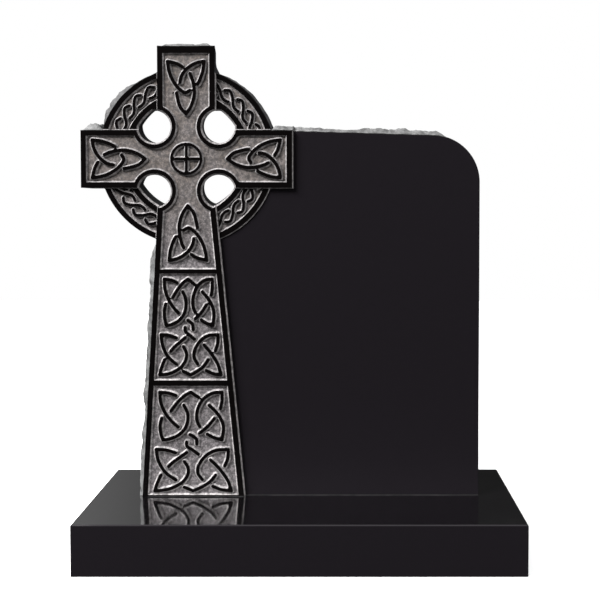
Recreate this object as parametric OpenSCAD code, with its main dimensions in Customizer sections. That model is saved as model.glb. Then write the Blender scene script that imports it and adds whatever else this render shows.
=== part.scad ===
// Celtic cross headstone: one stone, part carved cross and part plain tablet, standing on a low base.
// Millimetres, +Z up, +Y towards the back. The origin is the middle of the base's underside.

/* [Base] */
// Bare base to the left of the shaft's foot
base_left = 105; // [40:1:200]
// Bare base to the right of the tablet
base_right = 73; // [40:1:200]
// Bare base in front of the stone
base_front = 140; // [60:1:220]
// Bare base behind the stone
base_back = 85; // [40:1:160]
// Height of the base
base_h = 105; // [75:1:155]
// Chamfer round the base's top edge
base_arris = 2; // [1:0.5:6]

/* [Tablet] */
// From the cross's upright axis to the tablet's right-hand edge
tablet_reach = 637; // [480:1:780]
// How far the tablet's top lies below the top of the arms
tablet_drop = 6; // [2:1:60]
// Radius of the tablet's rounded corner
corner_r = 103; // [40:1:180]
// Thickness of the stone at the face of the cross
stone_t = 80; // [60:1:120]

/* [Cross] */
// Height of the cross above the base
cross_h = 982; // [880:1:1200]
// Height of the hub's middle above the base
hub_h = 738; // [610:1:790]
// Width of the arms
arm_w = 125; // [100:1:150]
// Reach of the side arms from the upright axis
arm_reach = 229; // [190:1:280]
// Half width of the shaft's foot, left of the axis
foot_left = 100; // [75:1:150]
// Half width of the shaft's foot, right of the axis
foot_right = 123; // [75:1:160]

/* [Ring and openings] */
// Outer radius of the ring
ring_r = 190; // [158:1:222]
// Width of the ring, from its outer edge to the openings
ring_w = 70; // [60:1:84]
// Radius of the four openings in the armpits
opening_r = 35; // [30:0.5:42]
// How far the middle of an opening lies outside the lines of the arms
opening_out = 7; // [4:0.5:9]

/* [Carving] */
// How far the face of the cross stands proud of the tablet
cross_proud = 8; // [4:0.5:14]
// How far the face of the ring lies behind the face of the cross
ring_back = 5; // [2:0.5:7]
// Depth of the sunk fields
field_sink = 4; // [2:0.5:6]
// Width of the raised border along the arms and the shaft
border_w = 12; // [8:0.5:15]
// Width of the raised border across the top of the cross
top_border = 16; // [10:0.5:20]
// Width of the raised band along the ring's outer edge
ring_outer_border = 14; // [9:0.5:18]
// Width of the raised band along the ring's inner edge
ring_inner_border = 18; // [10:0.5:22]
// Height of the middle of the upper cross band above the base
upper_band_h = 494; // [420:1:560]
// Thickness of the upper cross band
upper_band_t = 9; // [6:0.5:16]
// Height of the middle of the lower cross band above the base
lower_band_h = 250; // [200:1:310]
// Thickness of the lower cross band
lower_band_t = 12; // [6:0.5:18]
// Height of the border along the shaft's foot
foot_border = 4; // [2:0.5:14]
// Outer radius of the hub's raised circle
hub_r = 35; // [25:0.5:42]
// Width of the raised lines in the hub
hub_line = 6; // [4:0.5:9]

/* [Rough edges] */
// How far the pitched edges bulge out between their arrises
pitch_out = 12; // [6:0.5:16]
// Width of the slope from each arris out to the bulge
pitch_slope = 16; // [8:0.5:24]
// Width of the clean margin left along each arris
pitch_margin = 2; // [1:0.5:4]

/* [Hidden] */
$fn = 96;
granite = [0.12, 0.11, 0.125];
eps = 1;
foot_w = foot_left + tablet_reach;
base_w = base_left + foot_w + base_right;
base_d = base_front + stone_t + base_back;
axis_x = base_left + foot_left - base_w / 2;
stone_y = base_front - base_d / 2;
hub_z = base_h + hub_h;
top_z = base_h + cross_h;
arm_half = arm_w / 2;
tablet_top = hub_h + arm_half - tablet_drop;
opening_at = arm_half + opening_out;
ring_in = ring_r - ring_w;
neck_h = hub_h - opening_at - opening_r;
pitch_root = 6;
ring_margin = 2 * pitch_margin;

// Half widths of the shaft at a height above the base, on its left and on its right.
function left_half(h) = foot_left + (arm_half - foot_left) * min(h, neck_h) / neck_h;
function right_half(h) = foot_right + (arm_half - foot_right) * min(h, neck_h) / neck_h;

// Stands an outline drawn in X and Z up, and gives it a thickness that runs back from a depth in Y.
module stand_up(y, t) {
  translate([0, y + t, 0]) rotate([90, 0, 0]) linear_extrude(t) children();
}

// Moves an outline drawn round the hub to its place.
module at_hub() {
  translate([axis_x, hub_z]) children();
}

module base_profile(run) {
  polygon([
    [-run / 2, 0], [run / 2, 0], [run / 2, base_h - base_arris], [run / 2 - base_arris, base_h],
    [base_arris - run / 2, base_h], [-run / 2, base_h - base_arris]
  ]);
}

module tablet_outline() {
  right = axis_x + tablet_reach;
  top = base_h + tablet_top;
  difference() {
    translate([axis_x, base_h]) square([tablet_reach, tablet_top]);
    translate([right - corner_r, top - corner_r]) square(corner_r + eps);
  }
  translate([right - corner_r, top - corner_r]) circle(corner_r);
}

// The shaft between two heights above the base, drawn in by an inset on each side.
module shaft_outline(low, high, inset) {
  translate([axis_x, base_h]) polygon([
    [inset - left_half(low), low], [right_half(low) - inset, low],
    [right_half(high) - inset, high], [inset - left_half(high), high]
  ]);
}

module arms_outline(inset, top_inset) {
  reach = arm_reach - inset;
  half = arm_half - inset;
  up = cross_h - hub_h - top_inset;
  at_hub() {
    translate([-reach, -half]) square([2 * reach, 2 * half]);
    translate([-half, 0]) square([2 * half, up]);
  }
}

module armpit_circles(r) {
  at_hub() for (x = [-1, 1], z = [-1, 1]) translate([x, z] * opening_at) circle(r);
}

module opening_outlines() {
  intersection() {
    armpit_circles(opening_r);
    at_hub() circle(ring_in);
  }
}

module cross_outline() {
  arms_outline(0, 0);
  shaft_outline(0, neck_h, 0);
  shaft_outline(neck_h, hub_h, 0);
}

// The sunk ground of the arms and the neck, with the borders left standing round it.
module upper_field() {
  difference() {
    union() {
      arms_outline(border_w, top_border);
      shaft_outline(upper_band_h + upper_band_t / 2, neck_h, border_w);
      shaft_outline(neck_h, hub_h, border_w);
    }
    armpit_circles(opening_r + border_w);
  }
}

module lower_fields() {
  shaft_outline(lower_band_h + lower_band_t / 2, upper_band_h - upper_band_t / 2, border_w);
  shaft_outline(foot_border, lower_band_h - lower_band_t / 2, border_w);
}

module hub_lines() {
  at_hub() {
    difference() {
      circle(hub_r);
      circle(hub_r - hub_line);
    }
    intersection() {
      circle(hub_r - hub_line / 2);
      union() {
        square([2 * hub_r, hub_line], center = true);
        square([hub_line, 2 * hub_r], center = true);
      }
    }
  }
}

module ring_field() {
  at_hub() difference() {
    circle(ring_r - ring_outer_border);
    circle(ring_in + ring_inner_border);
  }
}

// Profile of a rock-pitched edge: it rises from a root inside the stone, out past the clean margins
// at the front and the back, to a bulge between them.
function pitch_profile(edge, t, margin) = [
  [edge - pitch_root, margin], [edge + pitch_out, margin + pitch_slope],
  [edge + pitch_out, t - margin - pitch_slope], [edge - pitch_root, t - margin]
];

// A pitched edge on top of a straight run, which starts at a point and leans by an angle from +X.
module pitched_run(x, z, lean, run, y) {
  translate([x, stone_y + stone_t, z]) rotate([0, -lean, 0]) rotate([180, 0, 0]) rotate([0, 90, 0])
    linear_extrude(run) polygon(pitch_profile(0, stone_y + stone_t - y, pitch_margin));
}

// A pitched edge round the ring, between two angles from +X.
module pitched_arc(from, to) {
  translate([axis_x, stone_y + stone_t, hub_z]) rotate([90, 0, 0]) rotate([0, 0, from])
    rotate_extrude(angle = to - from) polygon(pitch_profile(ring_r, stone_t - ring_back, ring_margin));
}

module pitched_edges() {
  up_angle = acos((arm_half - pitch_out) / (ring_r + pitch_out));
  side_angle = 90 - up_angle;
  into_ring = sqrt(pow(ring_r, 2) - pow(arm_half, 2)) - 2 * pitch_out;
  arm_run = arm_reach - into_ring - pitch_margin;
  tablet_run = tablet_reach - corner_r - into_ring - pitch_margin;
  lean = atan2(neck_h, foot_left - arm_half);
  shaft_run = sqrt(pow(neck_h, 2) + pow(foot_left - arm_half, 2)) + pitch_out;
  foot_x = axis_x - foot_left - pitch_out * cos(lean);
  foot_z = base_h - pitch_out * sin(lean);
  pitched_arc(side_angle, up_angle);
  pitched_arc(180 - up_angle, 180 - side_angle);
  pitched_run(axis_x - arm_half + pitch_margin, top_z, 0, arm_w - 2 * pitch_margin, stone_y);
  pitched_run(axis_x - arm_reach + pitch_margin, hub_z + arm_half, 0, arm_run, stone_y);
  pitched_run(axis_x + into_ring, base_h + tablet_top, 0, tablet_run, stone_y + cross_proud);
  pitched_run(foot_x, foot_z, lean, shaft_run, stone_y);
}

module base() {
  color(granite) intersection() {
    translate([0, base_d / 2, 0]) rotate([90, 0, 0]) linear_extrude(base_d) base_profile(base_w);
    translate([-base_w / 2, 0, 0]) rotate([90, 0, 90]) linear_extrude(base_w) base_profile(base_d);
  }
}

module headstone() {
  color(granite) difference() {
    union() {
      stand_up(stone_y + cross_proud, stone_t - cross_proud) tablet_outline();
      stand_up(stone_y, stone_t) cross_outline();
      stand_up(stone_y + ring_back, stone_t - ring_back) at_hub() circle(ring_r);
      pitched_edges();
    }
    stand_up(stone_y - eps, stone_t + 2 * eps) {
      opening_outlines();
      translate([-base_w, 0]) square([2 * base_w, base_h]);
    }
    stand_up(stone_y - eps, field_sink + eps) difference() {
      union() {
        upper_field();
        lower_fields();
      }
      hub_lines();
    }
    stand_up(stone_y - eps, ring_back + field_sink + eps) difference() {
      ring_field();
      cross_outline();
    }
  }
}

base();
headstone();
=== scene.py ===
"""Celtic cross headstone: a carved cross and a plain tablet in one stone, standing on a low polished base.

The frame's boxes give the places and the panel's sizes give the carving. All lengths are in metres. The
carved face is drawn flat, in U (to the right) and V (up) from the middle of the hub, and then given depth.
"""

import math
import random

import bpy
import numpy as np
from bpy.props import FloatProperty, FloatVectorProperty, PointerProperty
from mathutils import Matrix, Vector, noise
from mathutils.geometry import delaunay_2d_cdt


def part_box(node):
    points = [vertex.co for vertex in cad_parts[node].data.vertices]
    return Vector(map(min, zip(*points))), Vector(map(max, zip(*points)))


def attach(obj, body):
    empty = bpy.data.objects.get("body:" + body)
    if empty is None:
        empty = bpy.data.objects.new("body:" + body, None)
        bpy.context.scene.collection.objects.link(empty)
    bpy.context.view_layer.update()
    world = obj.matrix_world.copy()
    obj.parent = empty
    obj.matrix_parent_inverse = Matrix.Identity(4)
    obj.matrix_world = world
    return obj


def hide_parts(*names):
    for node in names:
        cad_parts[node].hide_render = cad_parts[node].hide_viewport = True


bl_info = {
    "name": "Celtic Cross Headstone",
    "version": (1, 0, 0),
    "blender": (4, 5, 0),
    "location": "View3D > Sidebar > Headstone",
    "description": "Carves a Celtic cross headstone, polishes its base and sets it on a plain stage",
    "category": "Add Mesh",
}

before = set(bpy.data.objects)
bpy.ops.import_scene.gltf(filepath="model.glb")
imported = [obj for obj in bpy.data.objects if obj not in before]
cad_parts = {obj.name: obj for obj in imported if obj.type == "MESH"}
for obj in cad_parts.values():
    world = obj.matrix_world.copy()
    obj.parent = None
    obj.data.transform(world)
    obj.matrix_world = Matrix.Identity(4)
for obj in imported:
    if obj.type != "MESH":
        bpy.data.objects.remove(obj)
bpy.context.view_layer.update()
STONE_LOW, STONE_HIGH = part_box("headstone")
BASE_LOW, BASE_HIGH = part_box("base")
ROOT_BODY = "root"
SEED = 7
CUT_TOLERANCE = 1e-6
# Distances between points: on pitched edges, arcs and straight lines, along cords and on the sunk ground.
FINE_STEP = 0.0026
ARC_STEP = 0.004
OPENING_STEP = 0.003
LINE_STEP = 0.012
CORD_STEP = 0.0025
GROUND_STEP = 0.0042
GROUND_MARGIN = 0.0012
# Distances between the points of each kind of leg, in the units it is drawn in.
TRIQUETRA_STEP = 0.04
TWIST_STEP = 0.8
KNOT_STEP = 0.03
ROUGH = ("pitched", "dark_pitched")
# How far round the tablet's corner its polished edge goes before the pitched edge starts, in degrees.
CORNER_POLISHED = 68.0
# How many facets and swells of a pitched edge there are in a metre, along it and across it, and how
# much finer its chips are.
FACETS = (22, 30)
SWELLS = (14, 9)
SWELL_SHIFT = 5
CHIPS = 4.5
# How far the lean of the upper arm's right side takes to set in, across the arm and up it.
TAPER_RUN = (0.06, 0.03)
# How far down a field's wall its ground starts, and the drop across a triangle that makes it a wall.
FLAT_GROUND = 0.98
STEEP = 0.0008
# How far round a corner of the edge its directions turn.
SOFT_REACH = 0.016
# How many rows of points cross a rough edge.
EDGE_ROWS = 21
# The angle between two faces that makes the edge between them sharp, in degrees.
SHARP_ANGLE = 28
# The heights between which the weather stain sets in.
WEATHERED_HEIGHT = (0.62, 0.78)
# How far the floor reaches to the front, to the back and to each side, and how brightly it glows.
FLOOR_REACH = (-3.0, 4.0, 4.0)
FLOOR_GLOW = 0.45
# Where each light hangs and what it is aimed at.
KEY_AIM = ((-3.3, -1.9, 3.9), (-0.1, 0.0, 0.45))
FILL_AIM = ((3.2, -1.2, 0.9), (-0.2, 0.0, 0.5))
CAMERA_SHIFT = (-0.075, -0.13)
# How many patterns of facets, wobbles and blasted tooth there are in a metre.
ROCK_PLACES = 40
WOBBLES = 70
TOOTH = 90


def length(name, description, default):
    """A size in metres that the panel shows."""
    return FloatProperty(
        name=name, description=description, default=default,
        min=0.0, precision=4, unit="LENGTH", subtype="DISTANCE",
    )


def shade(name, description, default):
    """A stone colour that the panel shows."""
    return FloatVectorProperty(
        name=name, description=description, default=default, size=3, min=0.0, max=1.0, subtype="COLOR"
    )


def angle(name, description, degrees):
    """An angle that the panel shows."""
    return FloatProperty(
        name=name, description=description, default=math.radians(degrees), unit="ROTATION", subtype="ANGLE"
    )


def power(name, description, default):
    """The power of a light in watts that the panel shows."""
    return FloatProperty(name=name, description=description, default=default, min=0.0, unit="POWER")


def brightness(name, description, default):
    """The brightness of a part of the studio that the panel shows."""
    return FloatProperty(name=name, description=description, default=default, min=0.0)


class CrossSizes(bpy.types.PropertyGroup):
    arm_width: length("Arm Width", "Width of the arms", 0.125)
    arm_reach: length("Arm Reach", "Reach of the side arms from the upright axis", 0.229)
    height: length("Height", "Height of the cross above the base", 0.982)
    hub_height: length("Hub Height", "Height of the hub's middle above the base", 0.738)
    foot_left: length("Foot Left", "Half width of the shaft's foot, left of the axis", 0.1)
    foot_right: length("Foot Right", "Half width of the shaft's foot, right of the axis", 0.123)
    ring_radius: length("Ring Radius", "Outer radius of the ring", 0.192)
    ring_width: length("Ring Width", "Width of the ring, from its outer edge to the openings", 0.069)
    ring_rise: length("Ring Rise", "How far the ring's middle lies above the hub's", 0.006)
    opening_radius: length("Opening Radius", "Radius of the four openings in the armpits", 0.035)
    opening_out: length("Opening Offset", "How far an opening's middle lies outside the arms' lines", 0.007)
    tablet_drop: length("Tablet Drop", "How far the tablet's corner lies below the top of the arms", 0.01)
    tablet_fall: length("Tablet Fall", "How far the tablet's top falls from the arm to its corner", 0.009)
    corner_radius: length("Corner Radius", "Radius of the tablet's rounded corner", 0.103)


class CarvingSizes(bpy.types.PropertyGroup):
    proud: length("Cross Proud", "How far the face of the cross stands proud of the tablet", 0.008)
    ring_back: length("Ring Back", "How far the face of the ring lies behind the face of the cross", 0.005)
    sink: length("Field Depth", "Depth of the sunk fields", 0.004)
    wall: length("Wall Run", "Width of the slope between a raised line and the sunk field", 0.003)
    step: length("Step Run", "Width of the slope between the cross, the ring and the tablet", 0.002)
    border: length("Border", "Width of the raised border along the arms and the shaft", 0.012)
    top_border: length("Top Border", "Width of the raised border across the top of the cross", 0.016)
    ring_outer: length("Ring Outer Border", "Width of the raised band along the ring's outer edge", 0.012)
    ring_inner: length("Ring Inner Border", "Width of the raised band along the ring's inner edge", 0.015)
    upper_band: length("Upper Band Height", "Height of the upper cross band above the base", 0.494)
    upper_band_width: length("Upper Band Width", "Width of the upper cross band", 0.009)
    lower_band: length("Lower Band Height", "Height of the lower cross band above the base", 0.25)
    lower_band_width: length("Lower Band Width", "Width of the lower cross band", 0.012)
    foot_border: length("Foot Border", "Height of the border along the shaft's foot", 0.004)
    hub_radius: length("Hub Radius", "Outer radius of the hub's raised circle", 0.035)
    hub_line: length("Hub Line", "Width of the raised lines in the hub", 0.006)
    cord: length("Cord Width", "Width of the raised cords of the knots", 0.0076)
    ring_cord: length("Ring Cord Width", "Width of the raised cords of the ring's twist", 0.0066)
    grain: length("Ground Texture", "Height of the tooth left on the sunk ground", 0.0007)


class EdgeSizes(bpy.types.PropertyGroup):
    arris: length("Arris", "Width of the small chamfer along the clean edges", 0.0015)
    opening_arris: length("Opening Arris", "Width of the chamfer round the openings", 0.0035)
    top_bulge: length("Top Bulge", "Bulge of the pitched edge on top of the cross", 0.007)
    arm_bulge: length("Arm Bulge", "Bulge of the pitched edge on the left arm", 0.019)
    ring_left_bulge: length("Left Ring Bulge", "Bulge of the ring's edge, left of the upper arm", 0.012)
    ring_right_bulge: length("Right Ring Bulge", "Bulge of the ring's edge, right of the upper arm", 0.004)
    tablet_bulge: length("Tablet Bulge", "Bulge of the pitched edge along the tablet's top", 0.012)
    shaft_bulge: length("Shaft Bulge", "Bulge of the pitched edge down the shaft's left side", 0.012)
    side_taper: length("Side Taper", "How far the upper arm's right side leans in towards the back", 0.011)
    opening_splay: length("Opening Splay", "How far the openings widen towards the back", 0.003)
    opening_lean: length("Opening Lean", "How far the openings lean to the left towards the back", 0.008)
    opening_lift: length("Opening Lift", "How far the openings climb towards the back", 0.009)
    wobble: length("Arris Wobble", "How far a pitched arris strays from its line", 0.0008)


class StoneColours(bpy.types.PropertyGroup):
    tablet: shade("Polished Tablet", "Black of the polished tablet and base", (0.0088, 0.0075, 0.0092))
    lines: shade("Polished Lines", "Black of the polished borders and cords", (0.0022, 0.0018, 0.0018))
    frosted: shade("Frosted Ground", "Grey of the sunk ground", (0.129, 0.117, 0.121))
    stain: shade("Weather Stain", "Brown of the stains on the upper carving", (0.095, 0.075, 0.06))
    # Lighter grey than the sunk ground, given to the walls and steps beside the raised lines and to the
    # openings' arris: a painted highlight where these slopes catch the light.
    wall: shade("Cut Wall", "Grey of the cut walls beside the raised lines", (0.245, 0.23, 0.23))
    pitched: shade("Pitched Edge", "Light grey of the freshly broken edges", (0.085, 0.085, 0.085))
    # Darker grey of the ring's broken edges. On the arris along the shaft's foot, this grey against the black
    # polish is a painted highlight line.
    dark_pitched: shade("Weathered Edge", "Grey of the ring's broken edges", (0.036, 0.035, 0.036))
    honed: shade("Honed Side", "Dark grey of the sawn sides and inside the openings", (0.012, 0.0115, 0.013))
    floor: shade("Floor", "Colour of the floor", (0.92, 0.92, 0.92))


class StageSizes(bpy.types.PropertyGroup):
    camera_side: length("Camera Side", "How far the camera stands to the right of the middle", 0.091)
    camera_back: length("Camera Distance", "How far the camera stands in front of the base's middle", 1.5764)
    camera_height: length("Camera Height", "Height of the camera above the floor", 0.7434)
    camera_pitch: angle("Camera Pitch", "How far the camera looks down", 1.36)
    lens: FloatProperty(
        name="Lens", description="Focal length of the camera",
        default=43.29, unit="CAMERA", subtype="DISTANCE_CAMERA",
    )
    key: power("Key Light", "Power of the soft light, upper left", 900.0)
    fill: power("Fill Light", "Power of the soft light, right", 90.0)
    sky: brightness("Overhead Light", "Brightness of the studio's ceiling", 1.0)
    glow: brightness("Left Glow", "Brightness of the studio, back left", 0.24)
    dusk: brightness("Right Glow", "Brightness of the studio, back right", 0.0125)


# Knots of the shaft, drawn in half a panel from -1 to 1 across and from 0 at its top to 1 at its bottom.
# Each leg of a cord runs between a gap or a point and the next one.
UPPER_LEGS = (
    ((-0.48, 0.07), (-0.74, 0.015), (-1.0, 0.0)),
    ((-1.0, 0.0), (-0.98, 0.21), (-0.86, 0.42), (-0.66, 0.60), (-0.44, 0.73)),
    ((-0.24, 0.27), (-0.13, 0.42), (-0.12, 0.59), (-0.22, 0.76), (-0.45, 0.90), (-0.75, 0.98), (-0.97, 1.0)),
    ((-0.97, 1.0), (-1.03, 0.84), (-1.03, 0.68), (-0.97, 0.54)),
    ((1.0, 0.0), (1.0, 0.17), (0.95, 0.34)),
    ((1.0, 0.0), (0.70, 0.02), (0.40, 0.14), (0.23, 0.32), (0.17, 0.50), (0.20, 0.63), (0.27, 0.72)),
    ((0.58, 0.27), (0.80, 0.41), (0.98, 0.58), (1.05, 0.76), (1.0, 1.0)),
    ((1.0, 1.0), (0.73, 0.95), (0.51, 0.88)),
    ((-0.66, 0.39), (-0.42, 0.20), (-0.20, 0.07), (0.0, 0.0)),
    ((0.0, 0.0), (0.25, 0.11)),
    ((0.75, 0.55), (0.52, 0.72), (0.26, 0.855)),
    ((-0.06, 0.885), (0.06, 0.93), (0.15, 0.985), (0.16, 1.09)),
)
LOWER_LEGS = (
    ((-0.46, 0.08), (-0.74, 0.01), (-1.0, 0.0)),
    ((-1.0, 0.0), (-0.95, 0.22), (-0.85, 0.41), (-0.70, 0.58), (-0.45, 0.735)),
    ((-0.22, 0.29), (-0.12, 0.45), (-0.14, 0.62), (-0.28, 0.79), (-0.55, 0.93), (-0.80, 0.985), (-1.0, 1.0)),
    ((-1.0, 1.0), (-0.94, 0.81), (-0.85, 0.62)),
    ((1.0, 0.0), (0.97, 0.21), (0.87, 0.40)),
    ((1.0, 0.0), (0.66, 0.02), (0.36, 0.16), (0.17, 0.38), (0.14, 0.57), (0.25, 0.73)),
    ((0.49, 0.25), (0.65, 0.39), (0.80, 0.56), (0.93, 0.76), (1.0, 1.0)),
    ((1.0, 1.0), (0.74, 0.97), (0.52, 0.89)),
    ((-0.15, 0.07), (-0.36, 0.20), (-0.52, 0.30), (-0.65, 0.41)),
    ((0.61, 0.62), (0.45, 0.78), (0.22, 0.91), (0.0, 1.0)),
    ((0.0, 1.0), (-0.23, 0.91)),
    ((0.17, 0.115), (0.01, 0.01), (-0.14, -0.08), (-0.15, -0.18)),
)
# A three-cornered knot, from -1 to 1 across and from 0 at its apex to 1 at its base tips.
TRIQUETRA = (
    ((0.0, 0.0), (-0.28, 0.15), (-0.45, 0.35), (-0.43, 0.54), (-0.33, 0.68), (-0.22, 0.77)),
    ((0.0, 0.0), (0.30, 0.12), (0.44, 0.27), (0.51, 0.40)),
    ((-0.21, 0.445), (0.03, 0.405), (0.28, 0.45), (0.54, 0.545), (0.79, 0.69), (0.93, 0.84), (1.0, 1.0)),
    ((0.19, 0.895), (0.50, 0.955), (1.0, 1.0)),
    ((-1.0, 1.0), (-0.94, 0.83), (-0.79, 0.67), (-0.645, 0.57)),
    ((-1.0, 1.0), (-0.62, 0.975), (-0.24, 0.91), (0.10, 0.80), (0.27, 0.69), (0.32, 0.60)),
)
# Which way each of the four faces from the hub, how far from the hub its apex and its base tips lie, its
# half width, and how far it is set over to the right.
TRIQUETRA_PLACES = (
    (0.0, 0.089, 0.2035, 0.041, 0.0),
    (90.0, 0.097, 0.21, 0.0395, 0.0),
    (180.0, 0.089, 0.2035, 0.041, 0.0),
    (270.0, 0.1015, 0.22, 0.0407, 0.0025),
)
# One cord of the ring's twist, as degrees round the hub and distance from it. It is carved again and again
# at a pitch in degrees, from a first place in each quarter, counterclockwise (1) or clockwise (-1).
TWIST_LEG = ((0.0, 0.165), (3.5, 0.1695), (8.0, 0.161), (12.0, 0.15), (15.5, 0.1465), (19.0, 0.148))
TWIST_PITCH = 11.7
TWIST_COUNT = 6
TWIST_TUCK = 0.005
TWIST_PLACES = ((83.2, -1), (91.9, 1), (189.7, 1), (276.7, 1))
# Heights above the base of the top and the bottom of the knot in each of the shaft's two panels.
PANEL_KNOTS = ((0.477, 0.268), (0.23, 0.013))
# Each half of a knot: its legs, the shares of the knot's height where it starts and ends, and the shares of
# the panel's width that it fills at its top and at its bottom.
HALF_KNOTS = ((UPPER_LEGS, (0.0, 0.483), (0.83, 0.73)), (LOWER_LEGS, (0.58, 1.0), (0.86, 0.85)))


def ramp(value):
    """Holds a value between 0 and 1."""
    return np.clip(value, 0.0, 1.0)


def polar(radius, degrees, middle=(0.0, 0.0)):
    """A point at a distance and an angle from a middle."""
    turn = np.radians(degrees)
    return np.stack([middle[0] + radius * np.cos(turn), middle[1] + radius * np.sin(turn)], axis=-1)


def arc(radius, start, end, spacing, middle=(0.0, 0.0)):
    """Points along an arc between two angles in degrees."""
    steps = max(2, math.ceil(abs(math.radians(end - start)) * radius / spacing))
    return polar(radius, np.linspace(start, end, steps + 1), middle)


def straight(start, end, spacing):
    """Points along a straight line."""
    start, end = np.array(start, float), np.array(end, float)
    steps = max(1, math.ceil(np.linalg.norm(end - start) / spacing))
    return start + (end - start) * np.linspace(0.0, 1.0, steps + 1)[:, None]


def respace(path, spacing):
    """The same line with evenly spaced points."""
    run = np.concatenate([[0.0], np.cumsum(np.linalg.norm(np.diff(path, axis=0), axis=1))])
    places = np.linspace(0.0, run[-1], max(2, math.ceil(run[-1] / spacing)) + 1)
    return np.stack([np.interp(places, run, path[:, axis]) for axis in (0, 1)], axis=1)


def smooth_curve(points, spacing):
    """A smooth line through given points."""
    points = np.array(points, float)
    padded = np.vstack([2 * points[0] - points[1], points, 2 * points[-1] - points[-2]])
    share = np.linspace(0.0, 1.0, 12, endpoint=False)[:, None]
    stretches = []
    for before, here, there, after in zip(padded, padded[1:], padded[2:], padded[3:]):
        stretches.append(
            here
            + share * (there - before) / 2
            + share**2 * (before - 2.5 * here + 2 * there - after / 2)
            + share**3 * (1.5 * (here - there) + (after - before) / 2)
        )
    return respace(np.vstack(stretches + [points[-1:]]), spacing)


def path_distance(points, path):
    """Distance from each point to a line, the nearest stretch of it and the place along that stretch."""
    start = path[:-1]
    run = path[1:] - start
    size = np.maximum((run**2).sum(axis=1), 1e-16)
    share = ramp(((points[:, None] - start) * run).sum(axis=2) / size)
    distance = np.linalg.norm(points[:, None] - (start + share[..., None] * run), axis=2)
    nearest = distance.argmin(axis=1)
    rows = np.arange(len(points))
    return distance[rows, nearest], nearest, share[rows, nearest]


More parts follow.
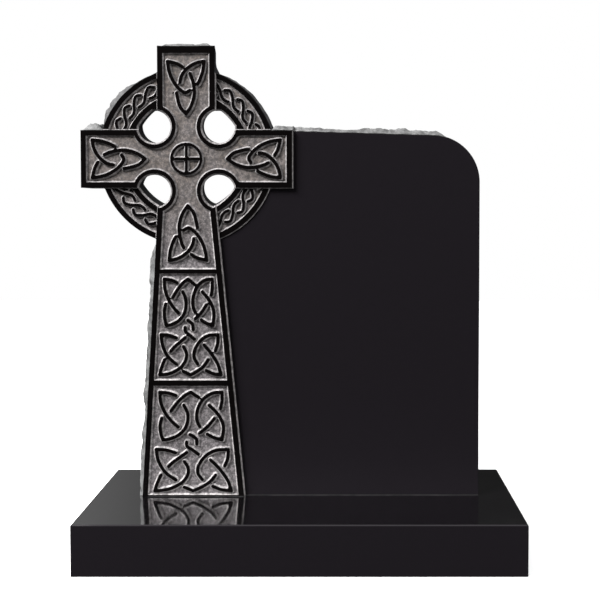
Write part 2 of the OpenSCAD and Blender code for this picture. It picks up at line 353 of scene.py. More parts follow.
class StonePlan:
    """The stone's lines round the hub, worked out from the sizes."""

    def __init__(self, scene):
        self.cross = scene.headstone_cross
        self.carving = scene.headstone_carving
        self.edges = scene.headstone_edges
        self.half = self.cross.arm_width / 2
        self.opening_at = self.half + self.cross.opening_out
        self.neck = self.cross.hub_height - self.opening_at - self.cross.opening_radius
        self.ring_inside = self.cross.ring_radius - self.cross.ring_width
        self.top = self.cross.height - self.cross.hub_height
        self.ring_middle = np.array([0.0, self.cross.ring_rise])
        self.meet_top = self.ring_middle[1] + math.sqrt(self.cross.ring_radius**2 - self.half**2)
        self.foot = -self.cross.hub_height
        self.axis_x = STONE_LOW.x + self.cross.arm_reach
        self.hub_z = BASE_HIGH.z + self.cross.hub_height
        self.right = STONE_HIGH.x - self.axis_x
        self.tablet_top = self.half - self.cross.tablet_drop
        self.openings = [(u * self.opening_at, v * self.opening_at) for u in (-1, 1) for v in (-1, 1)]
        self.fields = self.shaft_fields()

    def shaft_fields(self):
        """Heights above the base between which each of the shaft's sunk fields lies, from the hub down."""
        carving = self.carving
        upper, lower = carving.upper_band_width / 2, carving.lower_band_width / 2
        return (
            (carving.upper_band + upper, self.cross.hub_height),
            (carving.lower_band + lower, carving.upper_band - upper),
            (carving.foot_border, carving.lower_band - lower),
        )

    def from_ring(self, u, v):
        """Distance from the ring's middle."""
        return np.hypot(u - self.ring_middle[0], v - self.ring_middle[1])

    def shaft_half(self, v, foot_half):
        """Distance from the axis to one side of the shaft, level with v."""
        taper = ramp((v - self.foot) / self.neck)
        return foot_half + (self.half - foot_half) * taper

    def shaft_inside(self, u, v, inset, low, high):
        """How far points lie inside the shaft, drawn in by an inset, between two heights above the base."""
        left = u + self.shaft_half(v, self.cross.foot_left) - inset
        right = self.shaft_half(v, self.cross.foot_right) - inset - u
        height = v - self.foot
        return np.minimum(np.minimum(left, right), np.minimum(height - low, high - height))

    def arms_inside(self, u, v, inset, top_inset, low):
        """How far points lie inside the side arms or the upper arm, drawn in by an inset."""
        across = np.minimum(self.cross.arm_reach - inset - abs(u), self.half - inset - abs(v))
        upright = np.minimum(self.half - inset - abs(u), np.minimum(self.top - top_inset - v, v - low))
        return np.maximum(across, upright)

    def cross_inside(self, u, v):
        """How far points lie inside the outline of the cross."""
        shaft = self.shaft_inside(u, v, 0.0, -1.0, self.cross.hub_height)
        return np.maximum(self.arms_inside(u, v, 0.0, 0.0, 0.0), shaft)

    def fields_inside(self, u, v):
        """How far points lie inside the sunk fields of the cross."""
        border = self.carving.border
        neck, *panels = self.fields
        arms = self.arms_inside(u, v, border, self.carving.top_border, self.foot + neck[0])
        field = np.maximum(arms, self.shaft_inside(u, v, border, *neck))
        for middle in self.openings:
            outside = np.hypot(u - middle[0], v - middle[1]) - self.cross.opening_radius - border
            field = np.minimum(field, outside)
        for low, high in panels:
            field = np.maximum(field, self.shaft_inside(u, v, border, low, high))
        return field

    def ring_field_inside(self, u, v):
        """How far points lie inside the sunk field of the ring."""
        radius = self.from_ring(u, v)
        outer = self.cross.ring_radius - self.carving.ring_outer - radius
        return np.minimum(outer, radius - self.ring_inside - self.carving.ring_inner)

    def clearance(self, points, cords):
        """How far points lie inside a sunk field and clear of every cord."""
        u, v = points.T
        on_cross = self.cross_inside(u, v) >= -10 * CUT_TOLERANCE
        clear = np.where(on_cross, self.fields_inside(u, v), self.ring_field_inside(u, v))
        margin = self.carving.wall * 2 + self.carving.cord
        for path, half in cords:
            inside = (points > path.min(axis=0) - margin) & (points < path.max(axis=0) + margin)
            near = np.flatnonzero(inside.all(axis=1))
            if len(near):
                clear[near] = np.minimum(clear[near], path_distance(points[near], path)[0] - half)
        return clear

    def relief(self, points, cords):
        """Depth of the carved face behind the face of the cross, and how far down the field's wall it is."""
        u, v = points.T
        carving = self.carving
        sunk = ramp(self.clearance(points, cords) / carving.wall)
        off_cross = ramp(-self.cross_inside(u, v) / carving.step)
        off_ring = ramp((self.from_ring(u, v) - self.cross.ring_radius) / carving.step)
        ring_level = carving.ring_back + (carving.proud - carving.ring_back) * off_ring
        tooth = np.array([noise.fractal(Vector((a * TOOTH, b * TOOTH, 3.0)), 1.0, 2.0, 3) for a, b in points])
        depth = off_cross * ring_level + sunk * carving.sink + tooth * carving.grain * (sunk >= 1)
        return depth, sunk


def triquetra_paths():
    """The cords of the three-cornered knots on the arms and the neck, with their apexes to the hub."""
    for facing, apex, tips, width, over in TRIQUETRA_PLACES:
        out = polar(1.0, facing)
        side = np.array([-out[1], out[0]])
        for leg in TRIQUETRA:
            flat = smooth_curve(leg, TRIQUETRA_STEP)
            yield (apex + flat[:, 1:] * (tips - apex)) * out + flat[:, :1] * width * side + (over, 0.0)


def twist_paths(plan):
    """The cords of the ring's twist, which curl in from its outer border and end under the arms."""
    flat = smooth_curve(TWIST_LEG, TWIST_STEP)
    for first, sense in TWIST_PLACES:
        for number in range(TWIST_COUNT):
            path = polar(flat[:, 1], first + sense * (flat[:, 0] + number * TWIST_PITCH), plan.ring_middle)
            path = path[plan.cross_inside(*path.T) < TWIST_TUCK]
            if len(path) > 2:
                yield path


def shaft_paths(plan):
    """The knots of the two panels of the shaft: two half knots, one above the other, linked in the middle."""
    for top, bottom in PANEL_KNOTS:
        for legs, (first, last), (wide, narrow) in HALF_KNOTS:
            for leg in legs:
                flat = smooth_curve(leg, KNOT_STEP)
                down = first + flat[:, 1] * (last - first)
                v = top - down * (top - bottom) + plan.foot
                left = plan.shaft_half(v, plan.cross.foot_left)
                right = plan.shaft_half(v, plan.cross.foot_right)
                width = wide + (narrow - wide) * flat[:, 1]
                reach = width * ((left + right) / 2 - plan.carving.border)
                yield np.stack([(right - left) / 2 + flat[:, 0] * reach, v], axis=1)


def hub_cords(plan):
    """The raised circle in the hub, with an upright cross inside it."""
    half = plan.carving.hub_line / 2
    radius = plan.carving.hub_radius - half
    return [
        (arc(radius, 0.0, 360.0, ARC_STEP), half),
        (straight((-radius, 0.0), (radius, 0.0), LINE_STEP / 2), half),
        (straight((0.0, -radius), (0.0, radius), LINE_STEP / 2), half),
    ]


def all_cords(plan):
    """Every raised cord and line on the sunk fields, with half its width."""
    carving = plan.carving
    kinds = (
        (triquetra_paths(), carving.cord),
        (twist_paths(plan), carving.ring_cord),
        (shaft_paths(plan), carving.cord),
    )
    cords = [(respace(path, CORD_STEP), width / 2) for paths, width in kinds for path in paths]
    return cords + hub_cords(plan)


def cord_rail(path, offset):
    """The closed line round a cord at an offset from its middle, with round ends."""
    run = np.gradient(path, axis=0)
    run /= np.linalg.norm(run, axis=1)[:, None]
    side = np.stack([-run[:, 1], run[:, 0]], axis=1)
    ends = []
    for end, way in ((-1, 1.0), (0, -1.0)):
        heading = math.degrees(math.atan2(run[end, 1] * way, run[end, 0] * way))
        ends.append(polar(offset, np.linspace(heading + 90.0, heading - 90.0, 6)[1:-1], path[end]))
    return np.vstack([path + side * offset, ends[0], (path - side * offset)[::-1], ends[1]])


class Edge:
    """A closed edge of the stone: its points, which way is out, and how each stretch is finished."""

    def __init__(self, start=None):
        self.points = []
        self.bulge = []
        self.finish = []
        self.end = start

    def add(self, points, finish, bulge=None):
        """Adds a stretch up to, but not including, its last point. The bulge follows the share of its run."""
        count = len(points) - 1
        share = np.arange(count) / count
        self.points.extend(points[:-1])
        self.finish.extend([finish] * count)
        self.bulge.extend(bulge(share) if bulge else np.zeros(count))
        self.end = points[-1]

    def run(self, end, spacing, finish, bulge=None):
        """Goes straight on to a point."""
        self.add(straight(self.end, end, spacing), finish, bulge)

    def turn(self, middle, radius, start, end, spacing, finish, bulge=None):
        """Goes on along an arc between two angles in degrees."""
        self.add(arc(radius, start, end, spacing, middle), finish, bulge)

    def close(self, arris):
        """Works out the directions once every stretch is in place."""
        self.points = np.array(self.points)
        self.bulge = np.array(self.bulge)
        ahead = np.roll(self.points, -1, axis=0) - self.points
        ahead /= np.linalg.norm(ahead, axis=1)[:, None]
        normal = np.stack([ahead[:, 1], -ahead[:, 0]], axis=1)
        before = np.roll(normal, 1, axis=0)
        self.out = (normal + before) / (1 + (normal * before).sum(axis=1))[:, None]
        self.drawn_in = self.points - self.out * arris
        self.arris = arris
        soft = self.soften(normal)
        self.lean = soft / np.linalg.norm(soft, axis=1)[:, None]

    def ring(self):
        """The face's side of the edge, with its first point again at its end."""
        return np.vstack([self.drawn_in, self.drawn_in[:1]])

    def soften(self, normal):
        """Turns the directions gradually through the corners, so that bulges don't cross."""
        run = np.linalg.norm(np.roll(self.points, -1, axis=0) - self.points, axis=1)
        place = np.concatenate([[0.0], np.cumsum(run)])
        total = place[-1]
        middle = (place[:-1] + place[1:]) / 2
        apart = abs(place[:-1, None] - middle)
        apart = np.minimum(apart, total - apart)
        weight = np.maximum(SOFT_REACH - apart, 0.0) * run
        weight += 1e-9 * (apart < run.max())
        return (weight[..., None] * normal).sum(axis=1) / weight.sum(axis=1)[:, None]


def rise(share, start, end):
    """A smooth rise from 0 at the start to 1 at the end."""
    part = ramp((share - start) / (end - start))
    return part * part * (3 - 2 * part)


def stone_edge(plan):
    """The stone's outer edge, from the foot of the shaft round by the tablet and the cross and back."""
    cross = plan.cross
    edges = plan.edges
    ring = cross.ring_radius
    top_angle = math.degrees(math.acos(plan.half / ring))
    above_angle = math.degrees(math.asin((plan.half - cross.ring_rise) / ring))
    below_angle = math.degrees(math.asin((plan.half + cross.ring_rise) / ring))
    above = ring * math.cos(math.radians(above_angle))
    below = ring * math.cos(math.radians(below_angle))
    at_arm = plan.tablet_top + cross.tablet_fall
    corner = (plan.right - cross.corner_radius, plan.tablet_top - cross.corner_radius)
    slant = np.array([cross.foot_left - plan.half, plan.neck])
    foot_left = np.array([-cross.foot_left, plan.foot])
    shaft_out = slope_meets_ring(foot_left - plan.ring_middle, slant, ring)
    shaft_angle = math.degrees(math.atan2(shaft_out[1], shaft_out[0])) % 360.0
    edge = Edge(foot_left)
    edge.run((plan.right, plan.foot), LINE_STEP, "foot")
    edge.run((plan.right, corner[1]), LINE_STEP * 2.5, "polished")
    edge.turn(corner, cross.corner_radius, 0.0, CORNER_POLISHED, ARC_STEP * 1.25, "polished")
    edge.turn(
        corner, cross.corner_radius, CORNER_POLISHED, 90.0, FINE_STEP, "pitched",
        lambda share: edges.tablet_bulge * 0.85 * rise(share, 0.0, 0.9),
    )
    edge.run(
        (cross.arm_reach, at_arm), FINE_STEP, "pitched",
        lambda share: edges.tablet_bulge * (0.85 + 0.15 * np.sin(7 * share)),
    )
    edge.run(
        (cross.arm_reach, plan.half), FINE_STEP, "pitched",
        lambda share: edges.tablet_bulge * (1 - 0.2 * share),
    )
    edge.run(
        (above, plan.half), FINE_STEP, "pitched",
        lambda share: edges.tablet_bulge * (0.8 + 0.1 * share),
    )
    edge.turn(
        plan.ring_middle, ring, above_angle, top_angle, FINE_STEP, "dark_pitched",
        lambda share: edges.ring_right_bulge * rise(share, -0.6, 0.3) * rise(share, 1.0, 0.7),
    )
    edge.run((plan.half, plan.top), LINE_STEP, "honed")
    edge.run(
        (-plan.half, plan.top), FINE_STEP, "pitched",
        lambda share: edges.top_bulge * rise(share, 0.04, 0.15) * rise(share, 0.98, 0.86),
    )
    edge.run((-plan.half, plan.meet_top), LINE_STEP, "honed")
    edge.turn(
        plan.ring_middle, ring, 180.0 - top_angle, 180.0 - above_angle, FINE_STEP, "dark_pitched",
        lambda share: edges.ring_left_bulge * (0.15 + 0.85 * rise(share, 0.2, 0.5)) * rise(share, 1.05, 0.75),
    )
    edge.run(
        (-cross.arm_reach, plan.half), FINE_STEP, "pitched",
        lambda share: edges.arm_bulge * (0.75 + 0.25 * rise(share, 0.0, 0.3)) * rise(share, 1.0, 0.35) ** 0.7,
    )
    edge.run((-cross.arm_reach, -plan.half), LINE_STEP, "honed")
    edge.run((-below, -plan.half), LINE_STEP, "honed")
    edge.turn(plan.ring_middle, ring, 180.0 + below_angle, shaft_angle, ARC_STEP, "honed")
    edge.run(foot_left, FINE_STEP, "pitched", lambda share: edges.shaft_bulge * rise(share, 0.0, 0.06))
    stray(edge, edges.wobble)
    edge.close(edges.arris)
    return edge


def slope_meets_ring(foot, slant, ring):
    """Where the shaft's sloping side meets the ring's outer edge below the hub."""
    a = slant @ slant
    b = 2 * foot @ slant
    c = foot @ foot - ring**2
    return foot + slant * (-b - math.sqrt(b * b - 4 * a * c)) / (2 * a)


def stray(edge, wobble):
    """Lets the points of the pitched stretches stray a little, in and out, from their lines."""
    for number, (point, finish) in enumerate(zip(edge.points, edge.finish)):
        if finish in ROUGH and edge.finish[number - 1] in ROUGH:
            across, up = point * WOBBLES
            shift = [noise.noise(Vector((across, up, layer))) for layer in (1.7, 5.3)]
            edge.points[number] = point + wobble * np.array(shift)


def opening_edge(plan, middle):
    """The edge of one opening: most of a circle, flattened by the ring's inner edge."""
    radius = plan.cross.opening_radius
    over, up = np.array(middle) - plan.ring_middle
    away = math.hypot(over, up)
    facing = math.degrees(math.atan2(up, over))
    inside = plan.ring_inside
    at_hub = math.degrees(math.acos((inside**2 + away**2 - radius**2) / (2 * inside * away)))
    at_middle = math.degrees(math.acos((away**2 + radius**2 - inside**2) / (2 * away * radius)))
    back = facing + 180.0
    edge = Edge()
    edge.turn(middle, radius, back + at_middle, back - at_middle, OPENING_STEP, "opening")
    edge.turn(plan.ring_middle, inside, facing + at_hub, facing - at_hub, OPENING_STEP, "opening")
    edge.close(plan.edges.opening_arris)
    return edge


def field_lines(plan):
    """Lines where the carved face changes slope: the borders, the ledges and the feet of their walls."""
    cross = plan.cross
    carving = plan.carving
    lines = []

    def line(start, end):
        lines.append(straight(start, end, LINE_STEP))

    def round_line(radius, middle):
        lines.append(arc(radius, 0.0, 360.0, ARC_STEP, middle))

    def outline(reach, half, top):
        line((-reach, half), (reach, half))
        line((-reach, -half), (reach, -half))
        for side in (-1, 1):
            line((side * reach, -half), (side * reach, half))
            line((side * half, 0.0), (side * half, top))
        line((-half, top), (half, top))

    def shaft(inset, low, high):
        neck_v = plan.foot + plan.neck
        for side, foot_half in ((-1, cross.foot_left), (1, cross.foot_right)):
            levels = [v for v in (low, neck_v, high) if low <= v <= high]
            for start, end in zip(levels, levels[1:]):
                if end - start > CUT_TOLERANCE:
                    line(*[(side * (plan.shaft_half(v, foot_half) - inset), v) for v in (start, end)])

    def rung(v, inset):
        left = plan.shaft_half(v, cross.foot_left) - inset
        right = plan.shaft_half(v, cross.foot_right) - inset
        line((-left, v), (right, v))

    for run in (0.0, carving.step):
        outline(cross.arm_reach + run, plan.half + run, plan.top + run)
        shaft(-run, plan.foot, -plan.half)
        round_line(cross.ring_radius + run, plan.ring_middle)
    for run in (0.0, carving.wall):
        inset = carving.border + run
        outline(cross.arm_reach - inset, plan.half - inset, plan.top - carving.top_border - run)
        round_line(cross.ring_radius - carving.ring_outer - run, plan.ring_middle)
        round_line(plan.ring_inside + carving.ring_inner + run, plan.ring_middle)
        for middle in plan.openings:
            round_line(cross.opening_radius + inset, middle)
        for low, high in plan.fields:
            low_v = plan.foot + low + run
            high_v = plan.foot + high - run if high < cross.hub_height else 0.0
            shaft(inset, low_v, high_v)
            rung(low_v, inset)
            if high_v:
                rung(high_v, inset)
    return lines


def ground_points(plan, cords):
    """Scattered points on the sunk ground, so that it can carry the tooth left by the blast."""
    draw = random.Random(SEED)
    stray_most = 0.4 * GROUND_STEP
    grid = np.array([
        (u + draw.uniform(-stray_most, stray_most), v + draw.uniform(-stray_most, stray_most))
        for u in np.arange(-plan.cross.arm_reach, plan.cross.arm_reach, GROUND_STEP)
        for v in np.arange(plan.foot, plan.top, GROUND_STEP)
    ])
    clear = plan.clearance(grid, cords)
    on_stone = (plan.cross_inside(*grid.T) > 0) | (plan.from_ring(*grid.T) < plan.cross.ring_radius)
    return grid[on_stone & (clear > plan.carving.wall + GROUND_MARGIN)]


def cut_face(plan, edges, cords):
    """Triangles of the carved face between its edges: points in U and V, and corners."""
    points = []
    links = []

    def add(line, closed):
        first = len(points)
        points.extend(map(Vector, line.tolist()))
        last = len(points) - 1
        links.extend((number, number + 1) for number in range(first, last))
        if closed:
            links.append((last, first))

    for edge in edges:
        add(edge.drawn_in, True)
    for line in field_lines(plan):
        add(line, False)
    for path, half in cords:
        add(cord_rail(path, half), True)
        add(cord_rail(path, half + plan.carving.wall), True)
    points.extend(map(Vector, ground_points(plan, cords).tolist()))
    found, faces, _ = fill(points, links, [edge.drawn_in for edge in edges], CUT_TOLERANCE)
    used = np.unique(faces)
    order = np.full(len(found), -1)
    order[used] = np.arange(len(used))
    return found[used], order[faces]


def fill(points, links, loops, tolerance):
    """Triangles between linked points, inside the tallest of the loops and outside the others."""
    found, _, faces, origins, _, _ = delaunay_2d_cdt(points, links, [], 0, tolerance, True)
    found = np.array([point[:] for point in found])
    faces = np.array(faces)
    middles = found[faces].mean(axis=1)
    loops = sorted(loops, key=lambda loop: -np.ptp(loop[:, 1]))
    keep = winding(middles, loops[0])
    for loop in loops[1:]:
        keep &= ~winding(middles, loop)
    return found, faces[keep], origins


def winding(points, loop):
    """Which points lie inside a closed line."""
    inside = np.zeros(len(points), bool)
    u, v = points.T
    for (u0, v0), (u1, v1) in zip(loop, np.roll(loop, -1, axis=0)):
        crosses = (v0 > v) != (v1 > v)
        if crosses.any():
            at = u0 + (v[crosses] - v0) * (u1 - u0) / (v1 - v0)
            inside[np.flatnonzero(crosses)[u[crosses] < at]] ^= True
    return inside


def open_loops(faces):
    """The face's open edges, chained into loops that keep the face on their left."""
    seen = {}
    for a, b, c in faces.tolist():
        for pair in ((a, b), (b, c), (c, a)):
            seen[pair] = True
    ahead = {}
    for a, b in seen:
        if (b, a) not in seen:
            ahead.setdefault(a, []).append(b)
    loops = []
    while ahead:
        start = next(iter(ahead))
        loop = [start]
        here = ahead[start].pop()
        if not ahead[start]:
            del ahead[start]
        while here != start:
            loop.append(here)
            there = ahead[here].pop()
            if not ahead[here]:
                del ahead[here]
            here = there
        loops.append(loop)
    return loops


def rock(place, along, across):
    """Height of a pitched surface, from flat broken facets and a little roughness, round 1."""
    spot = Vector((along * FACETS[0], across * FACETS[1], place))
    distances, _ = noise.voronoi(spot)
    facet = distances[1] - distances[0]
    swell = noise.noise(Vector((along * SWELLS[0], across * SWELLS[1], place + SWELL_SHIFT)))
    rough = noise.fractal(spot * CHIPS, 0.9, 2.1, 3)
    return 0.8 + 0.34 * swell + 0.42 * facet + 0.1 * rough


def edge_surface(plan, edge, loop, points, depths, rows):
    """Rows of points from the face's loop over the arris, across the edge and round to the back."""
    _, nearest, share = path_distance(points[loop], edge.ring())
    following = (nearest + 1) % len(edge.points)

    def between(values):
        """Values at the loop's points, from the values at the edge's points on either side."""
        part = share if values.ndim == 1 else share[:, None]
        return values[nearest] * (1 - part) + values[following] * part

    out = between(edge.out)
    lean = between(edge.lean)
    bulge = between(edge.bulge)
    arris_line = points[loop] + out * edge.arris
    front = depths[loop] + edge.arris
    back = STONE_HIGH.y - STONE_LOW.y
    if edge.finish[0] == "opening":
        widen = plan.edges.opening_splay
        set_over = np.tile((-plan.edges.opening_lean, plan.edges.opening_lift), (len(loop), 1))
    else:
        widen = 0.0
        u, v = arris_line.T
        near_side = rise(u, plan.half - TAPER_RUN[0], plan.half)
        near_side = near_side * rise(v, plan.meet_top, plan.meet_top + TAPER_RUN[1])
        set_over = near_side[:, None] * (-plan.edges.side_taper, 0.0)
    layers = []
    for row in rows:
        depth = front + (back - plan.edges.arris - front) * row
        profile = rise(row, 0.0, 0.15) * rise(row, 1.0, 0.78)
        height = np.zeros(len(loop))
        for number in np.flatnonzero(bulge > 0):
            u, v = arris_line[number]
            height[number] = bulge[number] * profile * rock(u * ROCK_PLACES, u + v, depth[number])
        height -= widen * row
        layers.append((arris_line + lean * height[:, None] + set_over * row, depth))
    last = arris_line - out * plan.edges.arris - lean * widen + set_over
    layers.append((last, np.full(len(loop), back)))
    return layers, [edge.finish[number] for number in nearest]


MATERIALS = (
    "polished_lines", "polished_tablet", "frosted_ground", "painted_highlight_wall",
    "pitched_edge", "dark_pitched_and_foot_glint", "honed_side",
)
SIDE_FINISH = {
    # The foot's arris takes the dark pitched grey: a painted highlight line along the foot.
    "foot": ("dark_pitched_and_foot_glint", "honed_side"),
    "polished": ("polished_tablet", "polished_tablet"),
    "pitched": ("polished_lines", "pitched_edge"),
    "dark_pitched": ("polished_lines", "dark_pitched_and_foot_glint"),
    "honed": ("polished_lines", "honed_side"),
    # The openings' arris takes the lighter wall grey: painted highlight arcs round the openings.
    "opening": ("painted_highlight_wall", "honed_side"),
}


def face_finishes(plan, points, faces, depths, sunk):
    """The finish of each triangle of the carved face, as its place in MATERIALS."""
    middles = points[faces].mean(axis=1).T
    carved = (plan.cross_inside(*middles) > 0) | (plan.from_ring(*middles) < plan.cross.ring_radius)
    spread = np.ptp(depths[faces], axis=1)
    on_ground = sunk[faces].min(axis=1) > FLAT_GROUND
    lines, tablet, ground, wall = range(4)
    finish = np.where(carved, lines, tablet)
    # Sloping triangles of walls and steps take the lighter wall grey, a painted highlight.
    finish = np.where(spread > STEEP, wall, finish)
    return np.where(on_ground, ground, finish).tolist()


def build_headstone(plan):
    """One closed mesh of the whole stone, with a finish for every face."""
    cords = all_cords(plan)
    edges = [stone_edge(plan)] + [opening_edge(plan, middle) for middle in plan.openings]
    points, faces = cut_face(plan, edges, cords)
    depths, sunk = plan.relief(points, cords)
    finishes = face_finishes(plan, points, faces, depths, sunk)
    corners = faces.tolist()
    flat = [points]
    depth_list = [depths]
    count = len(points)
    rough_rows = np.linspace(0.0, 1.0, EDGE_ROWS)
    back_loops = []
    for loop in open_loops(faces):
        near = [path_distance(points[loop[:1]], edge.ring())[0][0] for edge in edges]
        edge = edges[int(np.argmin(near))]
        rows = rough_rows if edge is edges[0] else rough_rows[[0, -1]]
        layers, kinds = edge_surface(plan, edge, loop, points, depths, rows)
        previous = list(loop)
        for number, (line, depth) in enumerate(layers):
            current = list(range(count, count + len(loop)))
            flat.append(line)
            depth_list.append(depth)
            count += len(loop)
            for at in range(len(loop)):
                after = (at + 1) % len(loop)
                corners.append([previous[after], previous[at], current[at], current[after]])
                arris_kind, side_kind = SIDE_FINISH[kinds[at]]
                kind = arris_kind if number == 0 else side_kind
                finishes.append(MATERIALS.index(kind))
            previous = current
        back_loops.append(previous)
    flat = np.vstack(flat)
    depth_list = np.concatenate(depth_list)
    back = close_back(flat, back_loops)
    corners.extend(back)
    finishes.extend([MATERIALS.index("polished_tablet")] * len(back))
    places = np.stack([flat[:, 0] + plan.axis_x, depth_list + STONE_LOW.y, flat[:, 1] + plan.hub_z], axis=1)
    return places, corners, finishes


def close_back(flat, loops):
    """Triangles of the plain back between the last rows of the edges."""
    numbers = [number for loop in loops for number in loop]
    links = []
    first = 0
    for loop in loops:
        links.extend((first + at, first + (at + 1) % len(loop)) for at in range(len(loop)))
        first += len(loop)
    points = [Vector(flat[number].tolist()) for number in numbers]
    _, faces, origins = fill(points, links, [flat[loop] for loop in loops], CUT_TOLERANCE / 10)
    if any(len(origin) != 1 for origin in origins):
        raise RuntimeError("the back's edge crosses itself")
    names = np.array([numbers[origin[0]] for origin in origins])
    return names[faces][:, ::-1].tolist()


def tint(colour, factor):
    """A lighter or darker shade of a colour."""
    return tuple(min(1.0, part * factor) for part in colour)


class ShaderNodes:
    """Adds linked nodes to a world or a material."""

    def __init__(self, owner):
        owner.use_nodes = True
        self.nodes = owner.node_tree.nodes
        self.links = owner.node_tree.links

    def feed(self, socket, value):
        """Links a pattern to a socket, or sets the socket to a plain colour or number."""
        if hasattr(value, "is_output"):
            self.links.new(value, socket)
        elif hasattr(value, "__len__"):
            socket.default_value = (*value, 1.0)
        else:
            socket.default_value = value

    def add(self, kind, inputs=(), **settings):
        """A new node with its settings made and its inputs fed."""
        node = self.nodes.new(kind)
        for name, value in settings.items():
            setattr(node, name, value)
        for name, value in dict(inputs).items():
            self.feed(node.inputs[name], value)
        return node

    def spread(self, value, low, high, to_low=0.0, to_high=1.0):
        """Stretches a pattern from one range to another."""
        inputs = {"Value": value, "From Min": low, "From Max": high, "To Min": to_low, "To Max": to_high}
        return self.add("ShaderNodeMapRange", inputs).outputs["Result"]


class StoneFinish(ShaderNodes):
    """A material of stone, with its shader and its patterns."""

    def __init__(self, name, roughness, ior=1.5):
        self.material = bpy.data.materials.new(name)
        super().__init__(self.material)
        self.where = self.add("ShaderNodeTexCoord").outputs["Object"]
        self.lead("Roughness", roughness)
        self.lead("IOR", ior)

    def lead(self, name, value):
        """Leads a pattern or a plain value to an input of the shader."""
        self.feed(self.nodes["Principled BSDF"].inputs[name], value)

    def noise(self, scale, detail=3.0, roughness=0.6):
        """A noise pattern at a scale per metre."""
        inputs = {"Vector": self.where, "Scale": scale, "Detail": detail, "Roughness": roughness}
        return self.add("ShaderNodeTexNoise", inputs).outputs["Fac"]

    def crystals(self, scale):
        """A pattern of crystals at a scale per metre."""
        return self.add("ShaderNodeTexVoronoi", {"Vector": self.where, "Scale": scale}).outputs

    def blend(self, share, first, second):
        """Mixes two colours by a pattern."""
        inputs = {"Factor": share, "A": first, "B": second}
        return self.add("ShaderNodeMix", inputs, data_type="RGBA").outputs["Result"]

    def roughen(self, pattern, strength, distance):
        """Gives the surface a fine bump from a pattern."""
        inputs = {"Height": pattern, "Strength": strength, "Distance": distance}
        self.lead("Normal", self.add("ShaderNodeBump", inputs).outputs["Normal"])


def polished_stone(name, colour, ior):
    """Black granite with a mirror polish: fine crystals, a few light flecks and a faint haze."""
    stone = StoneFinish(name, 0.09, ior)
    grain = stone.spread(stone.crystals(520.0)["Distance"], 0.0, 0.9)
    body = stone.blend(grain, tint(colour, 1.12), tint(colour, 0.85))
    fleck = stone.spread(stone.noise(900.0, 2.0), 0.68, 0.78, 0.0, 0.35)
    stone.lead("Base Color", stone.blend(fleck, body, tint(colour, 3.2)))
    stone.lead("Roughness", stone.spread(stone.noise(9.0), 0.3, 0.7, 0.07, 0.12))
    return stone.material


def frosted_stone(name, colour, stain):
    """Ground left by the sand blast: mottled grey with a fine tooth, darker and stained round the hub."""
    stone = StoneFinish(name, 0.8)
    patches = stone.spread(stone.noise(130.0, 4.0), 0.4, 0.6)
    pits = stone.spread(stone.noise(420.0, 2.0), 0.36, 0.56, 0.8, 0.0)
    ground = stone.blend(patches, tint(colour, 0.42), tint(colour, 1.6))
    stained = stone.blend(patches, tint(stain, 0.45), tint(stain, 1.2))
    height = stone.add("ShaderNodeSeparateXYZ", {"Vector": stone.where}).outputs["Z"]
    cloud = stone.spread(stone.noise(26.0, 4.0), 0.3, 0.65, 0.35, 0.85)
    amounts = {0: stone.spread(height, *WEATHERED_HEIGHT), 1: cloud}
    weather = stone.add("ShaderNodeMath", amounts, operation="MULTIPLY").outputs["Value"]
    worn = stone.blend(weather, ground, stained)
    stone.lead("Base Color", stone.blend(pits, worn, tint(colour, 0.35)))
    stone.roughen(stone.noise(700.0, 3.0, 0.7), 0.5, 0.0006)
    return stone.material


def pitched_stone(name, colour):
    """Freshly broken granite: light grey, crystalline and rough."""
    stone = StoneFinish(name, 0.7)
    patches = stone.spread(stone.noise(60.0, 4.0), 0.35, 0.65)
    body = stone.blend(patches, tint(colour, 0.45), tint(colour, 1.7))
    speck = stone.spread(stone.crystals(330.0)["Color"], 0.66, 0.9, 0.0, 0.6)
    stone.lead("Base Color", stone.blend(speck, body, tint(colour, 0.4)))
    stone.roughen(stone.noise(260.0, 5.0, 0.65), 0.7, 0.0012)
    return stone.material


def honed_stone(name, colour):
    """Sawn and honed granite: dark and dull, with fine speckle."""
    stone = StoneFinish(name, 0.42)
    speckle = stone.spread(stone.noise(600.0, 2.0), 0.4, 0.7)
    stone.lead("Base Color", stone.blend(speckle, colour, tint(colour, 2.6)))
    stone.lead("Roughness", stone.spread(stone.noise(14.0), 0.3, 0.7, 0.36, 0.5))
    return stone.material


def stone_materials(colours):
    """The finishes of the headstone, in the order of MATERIALS."""
    return [
        polished_stone("polished_lines", colours.lines, 1.4),
        polished_stone("polished_tablet", colours.tablet, 1.45),
        frosted_stone("frosted_ground", colours.frosted, colours.stain),
        # The walls' lighter copy of the sunk ground: painted highlight.
        frosted_stone("painted_highlight_wall", colours.wall, tint(colours.wall, 0.7)),
        pitched_stone("pitched_edge", colours.pitched),
        # Also laid on the foot's arris as a painted highlight line.
        pitched_stone("dark_pitched_and_foot_glint", colours.dark_pitched),
        honed_stone("honed_side", colours.honed),
    ]


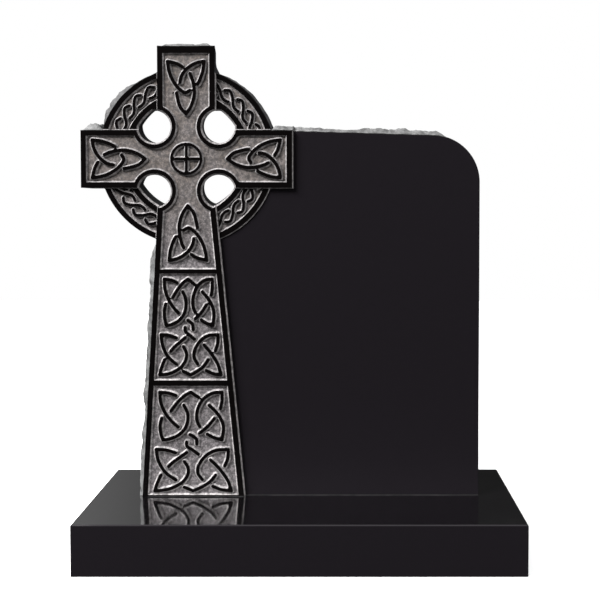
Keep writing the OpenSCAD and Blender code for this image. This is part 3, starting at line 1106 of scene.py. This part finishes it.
class HEADSTONE_OT_carve_headstone(bpy.types.Operator):
    """Carve the cross and the tablet in one stone"""

    bl_idname = "headstone.carve_headstone"
    bl_label = "Carve Headstone"

    def execute(self, context):
        plan = StonePlan(context.scene)
        places, corners, finishes = build_headstone(plan)
        mesh = bpy.data.meshes.new("carved_headstone")
        mesh.from_pydata(places.tolist(), [], corners)
        for material in stone_materials(context.scene.headstone_colours):
            mesh.materials.append(material)
        mesh.polygons.foreach_set("material_index", finishes)
        mesh.polygons.foreach_set("use_smooth", [True] * len(mesh.polygons))
        mesh.set_sharp_from_angle(angle=math.radians(SHARP_ANGLE))
        if mesh.validate():
            raise RuntimeError("the headstone's mesh has faces that can't be used")
        stone = bpy.data.objects.new("carved_headstone", mesh)
        context.scene.collection.objects.link(stone)
        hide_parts("headstone")
        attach(stone, ROOT_BODY)
        return {"FINISHED"}


class HEADSTONE_OT_polish_base(bpy.types.Operator):
    """Give the base its polished faces"""

    bl_idname = "headstone.polish_base"
    bl_label = "Polish Base"

    def execute(self, context):
        colours = context.scene.headstone_colours
        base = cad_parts["base"]
        base.data.materials.clear()
        base.data.materials.append(polished_stone("polished_base", tint(colours.tablet, 1.2), 1.45))
        base.data.materials.append(polished_stone("mirror_polished_top", tint(colours.tablet, 0.3), 6.0))
        for face in base.data.polygons:
            face.use_smooth = False
            face.material_index = 1 if face.normal.z > 0.9 else 0
        return {"FINISHED"}


def stage_world(scene, stage):
    """A white backdrop for the camera, and a dim studio with a bright ceiling for the stone."""
    scene.world = bpy.data.worlds.new("studio")
    tree = ShaderNodes(scene.world)
    tree.nodes.clear()
    around = tree.add("ShaderNodeTexCoord").outputs["Generated"]
    heading = tree.add("ShaderNodeSeparateXYZ", {"Vector": around}).outputs
    ceiling = tree.spread(heading["Z"], 0.45, 0.8, 0.012, stage.sky)
    sides = tree.spread(heading["X"], -0.33, -0.12, stage.glow, stage.dusk)
    behind = tree.spread(heading["Y"], 0.3, 0.6)
    glow = tree.add("ShaderNodeMath", {0: sides, 1: behind, 2: ceiling}, operation="MULTIPLY_ADD")
    studio = tree.add("ShaderNodeBackground", {"Strength": glow.outputs["Value"]}).outputs["Background"]
    backdrop = tree.add("ShaderNodeBackground", {"Color": (1.0, 1.0, 1.0)}).outputs["Background"]
    seen = tree.add("ShaderNodeLightPath").outputs["Is Camera Ray"]
    choose = tree.add("ShaderNodeMixShader", {"Fac": seen, 1: studio, 2: backdrop}).outputs["Shader"]
    tree.add("ShaderNodeOutputWorld", {"Surface": choose})


def hang_light(scene, name, shape, sides, watts, place, target):
    """Hangs a soft light in its place and turns it to a target."""
    light = bpy.data.lights.new(name, "AREA")
    light.shape = shape
    light.size, light.size_y = sides
    light.energy = watts
    lamp = bpy.data.objects.new(name, light)
    lamp.location = place
    lamp.rotation_euler = (Vector(target) - Vector(place)).to_track_quat("-Z", "Y").to_euler()
    scene.collection.objects.link(lamp)


class HEADSTONE_OT_set_stage(bpy.types.Operator):
    """Lay the floor, hang the lights and place the camera"""

    bl_idname = "headstone.set_stage"
    bl_label = "Set Stage"

    def execute(self, context):
        scene = context.scene
        stage = scene.headstone_stage
        scene.view_settings.view_transform = "Standard"
        self.floor(scene)
        hang_light(scene, "key", "RECTANGLE", (2.2, 1.6), stage.key, *KEY_AIM)
        hang_light(scene, "fill", "DISK", (1.6, 1.6), stage.fill, *FILL_AIM)
        stage_world(scene, stage)
        self.camera(scene, stage)
        return {"FINISHED"}

    def floor(self, scene):
        near, far, side = FLOOR_REACH
        corners = [(-side, near, 0.0), (side, near, 0.0), (side, far, 0.0), (-side, far, 0.0)]
        mesh = bpy.data.meshes.new("floor")
        mesh.from_pydata(corners, [], [(0, 1, 2, 3)])
        colour = scene.headstone_colours.floor
        paint = StoneFinish("floor", 0.9)
        cloud = paint.spread(paint.noise(3.0), 0.3, 0.7)
        paint.lead("Base Color", paint.blend(cloud, colour, tint(colour, 1.02)))
        paint.lead("Emission Color", (1.0, 1.0, 1.0))
        paint.lead("Emission Strength", FLOOR_GLOW)
        mesh.materials.append(paint.material)
        floor = bpy.data.objects.new("floor", mesh)
        floor.visible_glossy = False
        floor.visible_diffuse = False
        scene.collection.objects.link(floor)

    def camera(self, scene, stage):
        data = bpy.data.cameras.new("camera")
        data.lens = stage.lens
        data.sensor_width = 36.0
        data.shift_x, data.shift_y = CAMERA_SHIFT
        camera = bpy.data.objects.new("camera", data)
        camera.location = (stage.camera_side, -stage.camera_back, stage.camera_height)
        camera.rotation_euler = (math.radians(90.0) - stage.camera_pitch, 0.0, 0.0)
        scene.collection.objects.link(camera)
        scene.camera = camera


class HEADSTONE_PT_sidebar(bpy.types.Panel):
    """Sizes, colours and steps of the headstone"""

    bl_idname = "HEADSTONE_PT_sidebar"
    bl_label = "Celtic Cross Headstone"
    bl_space_type = "VIEW_3D"
    bl_region_type = "UI"
    bl_category = "Headstone"

    def draw(self, context):
        layout = self.layout
        for group, _ in SETTINGS:
            box = layout.box()
            settings = getattr(context.scene, group)
            for name in settings.__annotations__:
                box.prop(settings, name)
        for step in STEPS:
            layout.operator(step.bl_idname)


SETTINGS = (
    ("headstone_cross", CrossSizes),
    ("headstone_carving", CarvingSizes),
    ("headstone_edges", EdgeSizes),
    ("headstone_colours", StoneColours),
    ("headstone_stage", StageSizes),
)
STEPS = (HEADSTONE_OT_carve_headstone, HEADSTONE_OT_polish_base, HEADSTONE_OT_set_stage)


def register():
    """Adds the settings, the steps and the panel."""
    for group, settings in SETTINGS:
        bpy.utils.register_class(settings)
        setattr(bpy.types.Scene, group, PointerProperty(type=settings))
    for step in STEPS:
        bpy.utils.register_class(step)
    bpy.utils.register_class(HEADSTONE_PT_sidebar)


def unregister():
    """Takes the panel, the steps and the settings away."""
    bpy.utils.unregister_class(HEADSTONE_PT_sidebar)
    for step in reversed(STEPS):
        bpy.utils.unregister_class(step)
    for group, settings in reversed(SETTINGS):
        delattr(bpy.types.Scene, group)
        bpy.utils.unregister_class(settings)


def main():
    """Builds everything."""
    register()
    bpy.ops.headstone.carve_headstone()
    bpy.ops.headstone.polish_base()
    bpy.ops.headstone.set_stage()


if __name__ == "__main__":
    main()
